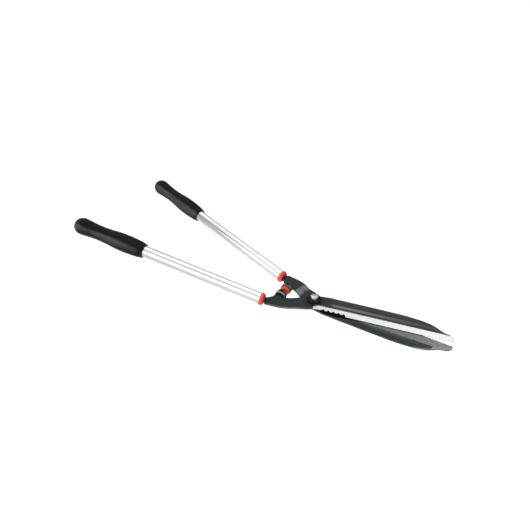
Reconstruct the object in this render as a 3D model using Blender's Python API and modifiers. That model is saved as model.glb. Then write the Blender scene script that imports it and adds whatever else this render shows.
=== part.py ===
"""Long-handled hedge shears: two arms bolted together where they cross, each a steel blade with its tang,
a plastic collar, an aluminium tube and a moulded grip. All sizes are in metres and +Z is up.

The origin is the middle of the pivot bolt's head, on its lower face. +X runs along the blades to their
tips and the handles rise as they go back. The upper arm has its blade at +Y and its handle at -Y, and
the lower arm is the other way round.
"""

import math

import bmesh
import bpy
from mathutils import Matrix, Vector

# Gap kept between pieces that touch, and how far a cutter runs on past what it cuts.
GAP = 0.0003
CUT_PAST = 0.0200

# Pivot stack, from the bolt's head upwards.
BOLT_HEAD_FLATS = 0.0170
BOLT_HEAD_HEIGHT = 0.0053
BOLT_RADIUS = 0.0040
BOLT_END_ABOVE_NUT = 0.0010
HEAD_WASHER_RADIUS = 0.0115
HEAD_WASHER_HEIGHT = 0.0015
BUSH_RADIUS = 0.0060
SPRING_WASHER_RADIUS = 0.0105
SPRING_WASHER_HEIGHT = 0.0010
RING_RADIUS = 0.0148
RING_HEIGHT = 0.0038
RING_TEETH = 24
RING_TOOTH_DEPTH = 0.0008
NUT_FLATS = 0.0130
NUT_TURN = math.radians(15)
NUT_HEIGHT = 0.0055

# The steel plates: each arm's blade and tang are one piece.
PLATE = 0.0040
BLADE_LENGTH = 0.2615
EDGE_THICKNESS = 0.0003
EDGE_OFFSET = 0.0243
EDGE_SLOPE = 0.115
GROUND_BEVEL_WIDTH = 0.0143
GROUND_BEVEL_START = 0.0060
TIP_ROUND = 0.0020
TIP_WIDTH = 0.0085
BACK_CURVE = (
    (0.2530, 0.0182),
    (0.2350, 0.0252),
    (0.2130, 0.0347),
    (0.1780, 0.0389),
    (0.1400, 0.0372),
    (0.0840, 0.0321),
    (0.0450, 0.0280),
)
HUB_RADIUS = 0.0190
HUB_ANGLES = (-80, -120, -158)
# The serrated stretch of the upper blade. Crest and root are distances inside the cutting edge's line.
SERRATION_LEAD_IN = ((0.0125, 0.0200), (0.0200, 0.0193))
SERRATION_START = 0.0260
SERRATION_PITCH = 0.0100
SERRATION_COUNT = 4
SERRATION_CREST = 0.0031
SERRATION_ROOT = 0.0063

# Tangs, seen from above for the arm whose handle is at +Y.
TANG_OUTER = (
    (-0.0820, 0.0550),
    (-0.0700, 0.0540),
    (-0.0580, 0.0520),
    (-0.0420, 0.0472),
    (-0.0260, 0.0395),
    (-0.0080, 0.0315),
)
TANG_INNER = ((-0.0500, 0.0165), (-0.0400, 0.0113), (-0.0315, 0.0052), (-0.0258, -0.0002))
EAR_BACK = -0.0760
EAR_FRONT = -0.0570
EAR_END = 0.0138
EAR_ROOT = (-0.0785, 0.0275)
EAR_FILLET = 0.0020
NECK_WIDTH = 0.0150
SHOULDER_AHEAD = 0.0080
SHOULDER_HALF_WIDTH = 0.0085
TAIL_WIDTH = 0.0140
TAIL_LENGTH = 0.0350

# Folds across the tangs. A fold line runs where x less FOLD_LEAN times the distance out from the
# middle plane has the value given, so that it leans forwards at its outer end.
FOLD_LEAN = 0.30
TAIL_FOLD = -0.1005
UPPER_FOLD = -0.0565
LOWER_STEP_START = -0.0360
LOWER_STEP_END = -0.0520
LOWER_STEP_SLOPE = 0.253

# Handles: a straight tube from the collar back, spread outwards and cranked upwards.
SPREAD = math.radians(11.4)
CRANK = math.radians(15.6)
COLLAR_CENTRE = (-0.0915, 0.0460)
COLLAR_RISE = 0.0055
COLLAR_LENGTH = 0.0090
COLLAR_RADIUS = 0.0132
COLLAR_FRONT_RADIUS = 0.0098
# The collar's outline from its back end: the distance ahead of the tube, and the radius.
COLLAR_OUTLINE = (
    (GAP, COLLAR_RADIUS - 0.0006),
    (0.0010, COLLAR_RADIUS),
    (0.0038, COLLAR_RADIUS),
    (0.0060, COLLAR_RADIUS - 0.0008),
    (COLLAR_LENGTH - 0.0006, COLLAR_FRONT_RADIUS + 0.0008),
    (COLLAR_LENGTH, COLLAR_FRONT_RADIUS),
)
TUBE_RADIUS = 0.0119
TUBE_WALL = 0.0015
TUBE_LENGTH = 0.3890
INSERT_LENGTH = 0.0380
INSERT_CHAMFER = (0.0010, 0.0020)
INSERT_SLOT_LENGTH = 0.0360
PIN_RADIUS = 0.0015
PIN_PLACE = 0.0220
PIN_SHORT_OF_TUBE = 0.0020
GRIP_MOUTH = 0.2533
# The grip's outline from its closed end: the distance behind its mouth, and the radius.
GRIP_OUTLINE = (
    (0.1565, 0.0000),
    (0.1558, 0.0060),
    (0.1531, 0.0112),
    (0.1486, 0.0151),
    (0.1410, 0.0175),
    (0.1321, 0.0172),
    (0.1216, 0.0163),
    (0.1108, 0.0155),
    (0.0997, 0.0152),
    (0.0886, 0.0156),
    (0.0770, 0.0163),
    (0.0658, 0.0174),
    (0.0547, 0.0181),
    (0.0436, 0.0183),
    (0.0324, 0.0181),
    (0.0213, 0.0175),
    (0.0102, 0.0166),
    (0.0034, 0.0152),
    (0.0000, 0.0142),
)

# Buffers that stop the closing stroke.
BUFFER_X = -0.0665
BUFFER_RISE = 0.0028
BUFFER_STUD_RADIUS = 0.0095
BUFFER_RADIUS = 0.0107
BUFFER_RIM = ((0.0000, 0.0024), (0.0006, 0.0012), (0.0020, 0.0004), (0.0040, 0.0000))
BUFFER_FACE = 0.0040
HOLDER_RADIUS = 0.0116
HOLDER_FRONT = 0.0085
HOLDER_BACK = 0.0190
HOLDER_POCKET = 0.0035
HOLDER_BACK_CHAMFER = 0.0020
RIVET_RADIUS = 0.0018
RIVET_HALF_LENGTH = 0.0094
RIVET_HEAD_RISE = 0.0006
RIVET_PLACE = 0.0165

# Levels that follow from the sizes above.
LOWER_PLATE_TOP = BOLT_HEAD_HEIGHT + HEAD_WASHER_HEIGHT + 2 * GAP + PLATE
CONTACT = LOWER_PLATE_TOP + GAP / 2
UPPER_PLATE_TOP = CONTACT + GAP / 2 + PLATE
SPRING_WASHER_BASE = UPPER_PLATE_TOP + GAP
RING_BASE = SPRING_WASHER_BASE + SPRING_WASHER_HEIGHT + GAP
NUT_BASE = RING_BASE + RING_HEIGHT + GAP
NUT_TOP = NUT_BASE + NUT_HEIGHT

ROUND_STEPS = 40
SMALL_STEPS = 16


def clear_scene():
    for thing in list(bpy.data.objects):
        bpy.data.objects.remove(thing)


def collection(name):
    made = bpy.data.collections.new(name)
    bpy.context.scene.collection.children.link(made)
    return made


def material(name, colour, roughness, metallic=0.0):
    made = bpy.data.materials.new(name)
    made.use_nodes = True
    shader = made.node_tree.nodes["Principled BSDF"]
    shader.inputs["Base Color"].default_value = (*colour, 1.0)
    shader.inputs["Roughness"].default_value = roughness
    shader.inputs["Metallic"].default_value = metallic
    made.diffuse_color = (*colour, 1.0)
    return made


def empty(name, parent=None, matrix=None):
    made = bpy.data.objects.new(name, None)
    made.empty_display_size = 0.02
    PARTS.objects.link(made)
    made.parent = parent
    if matrix:
        made.matrix_basis = matrix
    return made


def add(name, mesh, finish, parent, location=(0, 0, 0)):
    """A named part, shaded smooth over its round faces."""
    made = bpy.data.objects.new(name, mesh)
    made.location = location
    made.parent = parent
    PARTS.objects.link(made)
    mesh.materials.clear()
    mesh.materials.append(finish)
    mesh.shade_smooth()
    mesh.set_sharp_from_angle(angle=math.radians(35))
    return made


def cutter(name, mesh, parent=None, matrix=None):
    made = bpy.data.objects.new(name, mesh)
    CUTTERS.objects.link(made)
    made.hide_render = True
    made.display_type = "WIRE"
    made.parent = parent
    if matrix:
        made.matrix_basis = matrix
    return made


def cut(target, *tools, operation="DIFFERENCE"):
    for tool in tools:
        step = target.modifiers.new(tool.name, "BOOLEAN")
        step.object = tool
        step.operation = operation
        step.solver = "EXACT"


def box_mesh(name, low, high):
    mesh = bpy.data.meshes.new(name)
    shape = bmesh.new()
    bmesh.ops.create_cube(shape, size=1.0)
    low, high = Vector(low), Vector(high)
    bmesh.ops.scale(shape, vec=high - low, verts=shape.verts)
    bmesh.ops.translate(shape, vec=(low + high) / 2, verts=shape.verts)
    shape.to_mesh(mesh)
    shape.free()
    return mesh


def prism_mesh(name, radius, low, high, sides=ROUND_STEPS, turn=0.0):
    """A round or many-sided bar along Z."""
    mesh = bpy.data.meshes.new(name)
    shape = bmesh.new()
    bmesh.ops.create_cone(
        shape, cap_ends=True, segments=sides, radius1=radius, radius2=radius, depth=high - low
    )
    bmesh.ops.rotate(shape, matrix=Matrix.Rotation(turn, 3, "Z"), verts=shape.verts)
    bmesh.ops.translate(shape, vec=(0, 0, (low + high) / 2), verts=shape.verts)
    shape.to_mesh(mesh)
    shape.free()
    return mesh


def turned_mesh(name, profile, closed):
    """A profile of (radius, height) points for a Screw modifier."""
    mesh = bpy.data.meshes.new(name)
    points = [(radius, 0.0, height) for radius, height in profile]
    edges = [(i, i + 1) for i in range(len(points) - 1)]
    if closed:
        edges.append((len(points) - 1, 0))
    mesh.from_pydata(points, edges, [])
    return mesh


def turn(made, steps=ROUND_STEPS):
    screw = made.modifiers.new("turned", "SCREW")
    screw.axis = "Z"
    screw.steps = steps
    screw.render_steps = steps
    screw.use_merge_vertices = True
    screw.merge_threshold = 0.00001
    screw.use_smooth_shade = True
    return made


def turned(name, profile, finish, parent, closed=False, steps=ROUND_STEPS, location=(0, 0, 0)):
    made = add(name, turned_mesh(name, profile, closed), finish, parent, location)
    return turn(made, steps)


def ring_profile(outer, inner, low, high):
    return ((outer, high), (outer, low), (inner, low), (inner, high))


# ---------------------------------------------------------------------------------------------
# Arms
# ---------------------------------------------------------------------------------------------


def edge_y(x):
    """The cutting edge's line, for the arm whose handle is at +Y."""
    return EDGE_OFFSET - EDGE_SLOPE * x


def handle_plan(distance, offset):
    """A point beside the handle's centre line, seen from above: distance back from the collar's centre."""
    direction = Vector((-math.cos(SPREAD) * math.cos(CRANK), math.sin(SPREAD)))
    across = Vector((direction.y, -direction.x)).normalized()
    point = Vector(COLLAR_CENTRE) + distance * direction + offset * across
    return point.x, point.y


def serrations():
    """Cusps pointing into the blade, with a rounded tooth after each one."""
    points = []
    for i in range(SERRATION_COUNT + 1):
        cusp_x = SERRATION_START + i * SERRATION_PITCH
        points.append((cusp_x, edge_y(cusp_x) - SERRATION_ROOT, "VECTOR"))
        if i < SERRATION_COUNT:
            crest_x = cusp_x + SERRATION_PITCH / 2
            points.append((crest_x, edge_y(crest_x) - SERRATION_CREST, "AUTO"))
    return points


def arm_outline(serrated):
    """Corner points are VECTOR and smooth ones AUTO, as a Bezier curve's handles are named."""
    neck = -COLLAR_LENGTH / 2 - GAP
    tail = COLLAR_LENGTH / 2 + TAIL_LENGTH
    outline = [
        (*handle_plan(tail, TAIL_WIDTH / 2), "VECTOR"),
        (*handle_plan(neck + COLLAR_LENGTH, TAIL_WIDTH / 2), "VECTOR"),
        (*handle_plan(neck, NECK_WIDTH / 2), "AUTO"),
    ]
    outline += [(x, y, "AUTO") for x, y in TANG_OUTER]
    if serrated:
        outline.append((GROUND_BEVEL_START, edge_y(GROUND_BEVEL_START), "AUTO"))
        outline += [(x, y, "AUTO") for x, y in SERRATION_LEAD_IN]
        outline += serrations()
        after = SERRATION_START + (SERRATION_COUNT + 0.5) * SERRATION_PITCH
        outline.append((after, edge_y(after), "VECTOR"))
    else:
        outline.append((GROUND_BEVEL_START, edge_y(GROUND_BEVEL_START), "VECTOR"))
    tip_y = edge_y(BLADE_LENGTH)
    outline.append((BLADE_LENGTH - TIP_ROUND / 4, tip_y, "VECTOR"))
    outline.append((BLADE_LENGTH, tip_y - TIP_ROUND, "AUTO"))
    outline.append((BLADE_LENGTH - TIP_ROUND, tip_y - TIP_WIDTH, "AUTO"))
    outline += [(x, -y, "AUTO") for x, y in BACK_CURVE]
    for angle in HUB_ANGLES:
        turn_by = math.radians(angle)
        outline.append((HUB_RADIUS * math.cos(turn_by), HUB_RADIUS * math.sin(turn_by), "AUTO"))
    outline += [(x, y, "AUTO") for x, y in reversed(TANG_INNER)]
    outline += [
        (EAR_FRONT + EAR_FILLET, EAR_END + 2 * EAR_FILLET, "AUTO"),
        (EAR_FRONT, EAR_END, "VECTOR"),
        (EAR_BACK, EAR_END, "VECTOR"),
        (*EAR_ROOT, "AUTO"),
        (*handle_plan(-SHOULDER_AHEAD, -SHOULDER_HALF_WIDTH), "AUTO"),
        (*handle_plan(neck, -NECK_WIDTH / 2), "AUTO"),
        (*handle_plan(neck + COLLAR_LENGTH, -TAIL_WIDTH / 2), "VECTOR"),
        (*handle_plan(tail, -TAIL_WIDTH / 2), "VECTOR"),
    ]
    return outline


def outline_mesh(name, outline, thickness):
    """The flat plate inside an outline, centred on z = 0."""
    curve = bpy.data.curves.new(name, "CURVE")
    curve.dimensions = "2D"
    curve.fill_mode = "BOTH"
    curve.extrude = thickness / 2
    curve.resolution_u = 5
    spline = curve.splines.new("BEZIER")
    spline.bezier_points.add(len(outline) - 1)
    for point, (x, y, kind) in zip(spline.bezier_points, outline):
        point.co = (x, y, 0)
        point.handle_left_type = kind
        point.handle_right_type = kind
    spline.use_cyclic_u = True
    drawn = bpy.data.objects.new(name, curve)
    CUTTERS.objects.link(drawn)
    graph = bpy.context.evaluated_depsgraph_get()
    mesh = bpy.data.meshes.new_from_object(drawn.evaluated_get(graph))
    bpy.data.objects.remove(drawn)
    bpy.data.curves.remove(curve)
    return mesh


def fold_place(x, y):
    """Which fold line passes through a point: the value that stays the same along it."""
    return x - FOLD_LEAN * abs(y)


def tail_slope():
    """The rise for each step of fold_place that keeps the tail in line with the tube."""
    outwards = math.tan(SPREAD) / math.cos(CRANK)
    return math.tan(CRANK) / (1 + FOLD_LEAN * outwards)


def arm_folds(level, step):
    """Fold lines going back, each with the slope behind it. The gentle one meets the collar's centre."""
    folds = []
    start = UPPER_FOLD
    rise = CONTACT + COLLAR_RISE - level
    rise -= tail_slope() * (TAIL_FOLD - fold_place(*COLLAR_CENTRE))
    if step:
        folds.append((LOWER_STEP_START, LOWER_STEP_SLOPE))
        rise -= LOWER_STEP_SLOPE * (LOWER_STEP_START - LOWER_STEP_END)
        start = LOWER_STEP_END
    folds.append((start, rise / (start - TAIL_FOLD)))
    folds.append((TAIL_FOLD, tail_slope()))
    return folds


def rise_at(place, folds):
    """How far the plate's middle has risen on one fold line."""
    rise = 0.0
    ends = [start for start, _ in folds[1:]] + [-math.inf]
    for (start, slope), end in zip(folds, ends):
        if place < start:
            rise += slope * (start - max(place, end))
    return rise


def slope_at(place, folds):
    return [slope for start, slope in folds if place < start][-1]


def fold(shape, folds, side):
    """Creases the flat plate along each fold line and lifts what lies behind it."""
    for start, _ in folds:
        everything = shape.verts[:] + shape.edges[:] + shape.faces[:]
        across = Vector((1, -FOLD_LEAN * side, 0)).normalized()
        bmesh.ops.bisect_plane(shape, geom=everything, plane_co=(start, 0, 0), plane_no=across)
    for vertex in shape.verts:
        if vertex.co.y * side > 0:
            vertex.co.z += rise_at(fold_place(vertex.co.x, vertex.co.y), folds)


def ground_bevel_mesh(name):
    """What grinding takes off along the edge: it rises from the edge to the plate's face."""
    past = CUT_PAST
    mesh = box_mesh(name, (0, -past, 0), (BLADE_LENGTH + past, GROUND_BEVEL_WIDTH + past / 10, past))
    rise = math.atan2(PLATE - EDGE_THICKNESS, GROUND_BEVEL_WIDTH)
    mesh.transform(Matrix.Rotation(rise, 4, "X"))
    mesh.transform(Matrix.Rotation(math.atan(EDGE_SLOPE), 4, "Z"))
    start = GROUND_BEVEL_START
    mesh.transform(Matrix.Translation((start, -edge_y(start), EDGE_THICKNESS - PLATE / 2)))
    return mesh


def arm_plate(name, finish, parent, level, folds, upper):
    """One arm's blade and tang. The upper one is drawn for a handle at +Y, then mirrored to -Y."""
    side = -1 if upper else 1
    mesh = outline_mesh(name, arm_outline(serrated=upper), PLATE)
    shape = bmesh.new()
    shape.from_mesh(mesh)
    bmesh.ops.remove_doubles(shape, verts=shape.verts, dist=0.00001)
    bmesh.ops.scale(shape, vec=(1, side, 1), verts=shape.verts)
    fold(shape, folds, side)
    bmesh.ops.recalc_face_normals(shape, faces=shape.faces)
    shape.to_mesh(mesh)
    shape.free()
    made = add(name, mesh, finish, parent, (0, 0, level))

    grind = ground_bevel_mesh(name + "_grind")
    if not upper:
        grind.transform(Matrix.Rotation(math.pi, 4, "X"))
    placed = Matrix.Translation((0, 0, level))
    cut(made, cutter(name + "_grind", grind, matrix=placed))
    bore = prism_mesh(name + "_bore", BUSH_RADIUS + GAP, -CUT_PAST, CUT_PAST)
    cut(made, cutter(name + "_bore", bore, matrix=placed))
    hole = prism_mesh(name + "_rivet_hole", RIVET_RADIUS + GAP, -CUT_PAST, CUT_PAST, sides=SMALL_STEPS)
    place = Matrix.Translation((BUFFER_X, side * RIVET_PLACE, level))
    cut(made, cutter(name + "_rivet_hole", hole, matrix=place))
    return made


# ---------------------------------------------------------------------------------------------
# Pivot
# ---------------------------------------------------------------------------------------------


def flats_radius(across_flats):
    return across_flats / math.sqrt(3)


def pivot_bolt(finish, parent):
    head = prism_mesh("pivot_bolt", flats_radius(BOLT_HEAD_FLATS), 0, BOLT_HEAD_HEIGHT, sides=6)
    made = add("pivot_bolt", head, finish, parent)
    end = NUT_TOP + BOLT_END_ABOVE_NUT
    shank = prism_mesh("bolt_shank", BOLT_RADIUS, BOLT_HEAD_HEIGHT / 2, end)
    cut(made, cutter("bolt_shank", shank), operation="UNION")
    return made


def pivot_nut(finish, parent):
    size = flats_radius(NUT_FLATS)
    body = prism_mesh("pivot_nut", size, NUT_BASE, NUT_TOP, sides=6, turn=NUT_TURN)
    made = add("pivot_nut", body, finish, parent)
    bore = prism_mesh("nut_bore", BOLT_RADIUS + GAP / 3, NUT_BASE - CUT_PAST, NUT_TOP + CUT_PAST)
    cut(made, cutter("nut_bore", bore))
    return made


def tension_ring(finish, parent):
    """A disc with square teeth round its rim, held by the nut."""
    top = RING_BASE + RING_HEIGHT
    disc = prism_mesh("tension_ring", RING_RADIUS, RING_BASE, top, sides=2 * RING_TEETH)
    shape = bmesh.new()
    shape.from_mesh(disc)
    for vertex in shape.verts:
        step = round(math.atan2(vertex.co.y, vertex.co.x) / math.pi * RING_TEETH)
        if step % 2:
            vertex.co.xy *= 1 - RING_TOOTH_DEPTH / RING_RADIUS
    shape.to_mesh(disc)
    shape.free()
    made = add("tension_ring", disc, finish, parent)
    bore = prism_mesh("ring_bore", BOLT_RADIUS + GAP, RING_BASE - CUT_PAST, top + CUT_PAST)
    cut(made, cutter("ring_bore", bore))
    return made


def washer(name, radius, low, high, finish, parent):
    profile = ring_profile(radius, BOLT_RADIUS + GAP, low, high)
    return turned(name, profile, finish, parent, closed=True)


def pivot_stack(steel, black, bronze, parent):
    """The bolt and what it holds, from the head upwards."""
    pivot_bolt(steel, parent)
    base = BOLT_HEAD_HEIGHT + GAP
    washer("head_washer", HEAD_WASHER_RADIUS, base, base + HEAD_WASHER_HEIGHT, steel, parent)
    base += HEAD_WASHER_HEIGHT + GAP
    washer("pivot_bush", BUSH_RADIUS, base, UPPER_PLATE_TOP, bronze, parent)
    top = SPRING_WASHER_BASE + SPRING_WASHER_HEIGHT
    washer("spring_washer", SPRING_WASHER_RADIUS, SPRING_WASHER_BASE, top, steel, parent)
    tension_ring(black, parent)
    pivot_nut(steel, parent)


# ---------------------------------------------------------------------------------------------
# Buffers
# ---------------------------------------------------------------------------------------------


def buffer_frame(name, side, parent):
    """An empty on the buffer's line, with +Z pointing from the middle plane into this arm."""
    place = Matrix.Translation((BUFFER_X, 0, CONTACT + BUFFER_RISE))
    return empty(name, parent, place @ Matrix.Rotation(-side * math.pi / 2, 4, "X"))


def buffer_outline():
    """A stud that sits in the holder's pocket, under a wider head with a rounded rim."""
    stud_end = HOLDER_FRONT + HOLDER_POCKET - GAP
    stud = BUFFER_STUD_RADIUS - GAP
    rim = [(BUFFER_RADIUS - inwards, BUFFER_FACE + back) for inwards, back in BUFFER_RIM]
    return (
        (0, stud_end),
        (stud, stud_end),
        (stud, HOLDER_FRONT - GAP),
        (BUFFER_RADIUS, HOLDER_FRONT - GAP),
        *rim,
        (0, BUFFER_FACE),
    )


def holder_outline():
    pocket_floor = HOLDER_FRONT + HOLDER_POCKET
    return (
        (0, HOLDER_BACK),
        (HOLDER_RADIUS - HOLDER_BACK_CHAMFER, HOLDER_BACK),
        (HOLDER_RADIUS, HOLDER_BACK - HOLDER_BACK_CHAMFER),
        (HOLDER_RADIUS, HOLDER_FRONT),
        (BUFFER_STUD_RADIUS, HOLDER_FRONT),
        (BUFFER_STUD_RADIUS, pocket_floor),
        (0, pocket_floor),
    )


def ear_slot(arm, side, parent, level, folds):
    """What the tang's ear needs cut from the holder, tilted to the tang's slope."""
    half = PLATE / 2 + 2 * GAP
    start, end = EAR_END - GAP, HOLDER_BACK + CUT_PAST
    slot = box_mesh(arm + "_ear_slot", (-CUT_PAST, start, -half), (CUT_PAST, end, half))
    slot.transform(Matrix.Scale(side, 4, (0, 1, 0)))
    if side < 0:
        slot.flip_normals()
    place = fold_place(BUFFER_X, RIVET_PLACE)
    tilt = Matrix.Rotation(math.atan(slope_at(place, folds)), 4, "Y")
    middle = Matrix.Translation((BUFFER_X, 0, level + rise_at(place, folds)))
    return cutter(arm + "_ear_slot", slot, parent, middle @ tilt)


def buffer_set(arm, side, finishes, parent, level, folds):
    """The rubber buffer, the holder that clasps the tang's ear and the rivet through both."""
    rubber, holder_finish, rivet_finish = finishes
    line = buffer_frame(arm + "_buffer_line", side, parent)
    turned(arm + "_buffer", buffer_outline(), rubber, line)
    holder = turned(arm + "_buffer_holder", holder_outline(), holder_finish, line)
    cut(holder, ear_slot(arm, side, parent, level, folds))

    middle = (BUFFER_X, side * RIVET_PLACE, CONTACT + BUFFER_RISE)
    hole = prism_mesh(arm + "_holder_hole", RIVET_RADIUS + GAP, -CUT_PAST, CUT_PAST, sides=SMALL_STEPS)
    cut(holder, cutter(arm + "_holder_hole", hole, parent, Matrix.Translation(middle)))
    end = RIVET_HALF_LENGTH + RIVET_HEAD_RISE
    turned(
        arm + "_buffer_rivet",
        ((0, end), (RIVET_RADIUS, RIVET_HALF_LENGTH), (RIVET_RADIUS, -RIVET_HALF_LENGTH), (0, -end)),
        rivet_finish,
        parent,
        steps=SMALL_STEPS,
        location=middle,
    )


# ---------------------------------------------------------------------------------------------
# Handles
# ---------------------------------------------------------------------------------------------


def handle_frame(name, side, parent):
    """An empty at the tube's front end. Its +Z runs back along the tube and its +X points up."""
    tilt = Matrix.Rotation(CRANK, 4, "Y")
    spread = Matrix.Rotation(-side * SPREAD, 4, "Z")
    backwards = Matrix.Rotation(-math.pi / 2, 4, "Y")
    x, y = COLLAR_CENTRE
    start = Vector((x, side * y, CONTACT + COLLAR_RISE))
    turned_to = tilt @ spread @ backwards
    start += turned_to @ Vector((0, 0, COLLAR_LENGTH / 2))
    return empty(name, parent, Matrix.Translation(start) @ turned_to)


def collar_outline():
    """Flat behind, and rounded down towards the tang in front."""
    outside = [(radius, -distance) for distance, radius in COLLAR_OUTLINE]
    return ((0, -GAP), *outside, (0, -COLLAR_LENGTH))


def insert_outline():
    radius = TUBE_RADIUS - TUBE_WALL - GAP
    inwards, back = INSERT_CHAMFER
    return (
        (0, INSERT_LENGTH),
        (radius - inwards, INSERT_LENGTH),
        (radius, INSERT_LENGTH - back),
        (radius, GAP),
        (0, GAP),
    )


def grip_outline():
    """The outside from the closed end to the mouth, then the bore that the tube fits."""
    outside = [(radius, GRIP_MOUTH + distance) for distance, radius in GRIP_OUTLINE]
    bore = TUBE_RADIUS + GAP
    bore_end = TUBE_LENGTH + GAP
    return (*outside, (bore, GRIP_MOUTH), (bore, bore_end), (0, bore_end))


def tail_slot(name, start, end, line):
    """What the tang's tail needs cut from a piece of the handle."""
    half_height = PLATE / 2 + 3 * GAP
    half_width = NECK_WIDTH / 2 + 2 * GAP
    slot = box_mesh(name, (-half_height, -half_width, start), (half_height, half_width, end))
    return cutter(name, slot, line)


def insert_and_pin(arm, black, steel, line):
    """The plug inside the tube's front end, and the pin that holds the tang in it."""
    insert = turned(arm + "_insert", insert_outline(), black, line, steps=32)
    cut(insert, tail_slot(arm + "_insert_slot", -CUT_PAST, INSERT_SLOT_LENGTH, line))

    place = Matrix.Translation((0, 0, PIN_PLACE)) @ Matrix.Rotation(math.pi / 2, 4, "Y")
    hole = prism_mesh(arm + "_pin_hole", PIN_RADIUS + GAP, -CUT_PAST, CUT_PAST, sides=SMALL_STEPS)
    pin_hole = cutter(arm + "_pin_hole", hole, line, place)
    cut(insert, pin_hole)
    half = TUBE_RADIUS - TUBE_WALL - PIN_SHORT_OF_TUBE
    bar = prism_mesh(arm + "_insert_pin", PIN_RADIUS, -half, half, sides=SMALL_STEPS)
    pin = add(arm + "_insert_pin", bar, steel, line)
    pin.matrix_basis = place
    return pin_hole


def handle(arm, side, finishes, parent):
    """Collar, insert, pin, tube and grip. It returns the cutter that drills the tang for the pin."""
    orange, black, aluminium, steel, grip_plastic = finishes
    line = handle_frame(arm + "_handle_line", side, parent)
    collar = turned(arm + "_collar", collar_outline(), orange, line)
    cut(collar, tail_slot(arm + "_collar_slot", -CUT_PAST, CUT_PAST, line))
    pin_hole = insert_and_pin(arm, black, steel, line)
    wall = ring_profile(TUBE_RADIUS, TUBE_RADIUS - TUBE_WALL, GAP / 2, TUBE_LENGTH)
    turned(arm + "_tube", wall, aluminium, line, closed=True)
    turned(arm + "_grip", grip_outline(), grip_plastic, line, steps=36)
    return pin_hole


def build():
    painted = material("painted_steel", (0.045, 0.060, 0.066), 0.45, 0.35)
    steel = material("bright_steel", (0.78, 0.79, 0.80), 0.25, 1.0)
    bronze = material("bronze", (0.55, 0.36, 0.16), 0.35, 1.0)
    black = material("black_plastic", (0.012, 0.012, 0.014), 0.45)
    orange = material("orange_plastic", (0.83, 0.11, 0.06), 0.40)
    aluminium = material("aluminium_tube", (0.86, 0.87, 0.88), 0.30, 0.9)
    grip_plastic = material("grip_plastic", (0.014, 0.014, 0.017), 0.42)
    orange_rubber = material("orange_rubber", (0.84, 0.10, 0.04), 0.55)
    black_rubber = material("black_rubber", (0.010, 0.010, 0.011), 0.60)

    lower = empty("lower_arm_pivot")
    upper = empty("upper_arm_pivot")
    lower_level = LOWER_PLATE_TOP - PLATE / 2
    upper_level = UPPER_PLATE_TOP - PLATE / 2
    lower_folds = arm_folds(lower_level, step=True)
    upper_folds = arm_folds(upper_level, step=False)
    lower_plate = arm_plate("lower_blade", painted, lower, lower_level, lower_folds, upper=False)
    upper_plate = arm_plate("upper_blade", painted, upper, upper_level, upper_folds, upper=True)
    pivot_stack(steel, black, bronze, lower)

    buffer_set("lower", 1, (orange_rubber, black, steel), lower, lower_level, lower_folds)
    buffer_set("upper", -1, (black_rubber, black, steel), upper, upper_level, upper_folds)

    finishes = (orange, black, aluminium, steel, grip_plastic)
    cut(lower_plate, handle("lower", 1, finishes, lower))
    cut(upper_plate, handle("upper", -1, finishes, upper))


clear_scene()
PARTS = collection("hedge_shears")
CUTTERS = collection("cutters")
build()
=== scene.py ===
import math

import bmesh
import bpy
import numpy as np
from mathutils import Matrix, Vector


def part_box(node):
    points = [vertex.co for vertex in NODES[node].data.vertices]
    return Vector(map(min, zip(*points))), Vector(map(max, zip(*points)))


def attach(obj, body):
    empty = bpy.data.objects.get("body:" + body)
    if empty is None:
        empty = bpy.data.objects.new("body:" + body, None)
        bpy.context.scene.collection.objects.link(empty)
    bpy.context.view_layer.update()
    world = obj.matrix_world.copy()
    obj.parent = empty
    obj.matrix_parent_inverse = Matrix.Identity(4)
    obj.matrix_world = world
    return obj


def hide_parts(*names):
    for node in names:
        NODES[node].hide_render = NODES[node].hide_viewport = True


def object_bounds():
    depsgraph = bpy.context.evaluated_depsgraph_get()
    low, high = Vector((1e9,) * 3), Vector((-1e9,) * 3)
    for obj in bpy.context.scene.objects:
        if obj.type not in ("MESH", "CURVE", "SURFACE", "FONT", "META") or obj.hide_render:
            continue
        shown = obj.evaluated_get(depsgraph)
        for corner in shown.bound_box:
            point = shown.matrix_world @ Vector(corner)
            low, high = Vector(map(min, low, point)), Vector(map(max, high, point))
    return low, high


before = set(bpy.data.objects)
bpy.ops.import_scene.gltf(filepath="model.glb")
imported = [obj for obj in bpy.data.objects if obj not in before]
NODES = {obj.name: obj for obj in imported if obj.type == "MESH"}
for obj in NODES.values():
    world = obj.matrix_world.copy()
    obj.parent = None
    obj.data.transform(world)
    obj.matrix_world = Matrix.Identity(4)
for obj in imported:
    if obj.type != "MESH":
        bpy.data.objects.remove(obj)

CAD_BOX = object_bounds()

# Which side of the middle plane each arm's handle is on.
ARMS = {"lower": 1, "upper": -1}
# The gap that the CAD leaves between pieces that touch.
GAP = 0.0003


# ---------------------------------------------------------------------------------------------
# Finishes
# ---------------------------------------------------------------------------------------------


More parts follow.
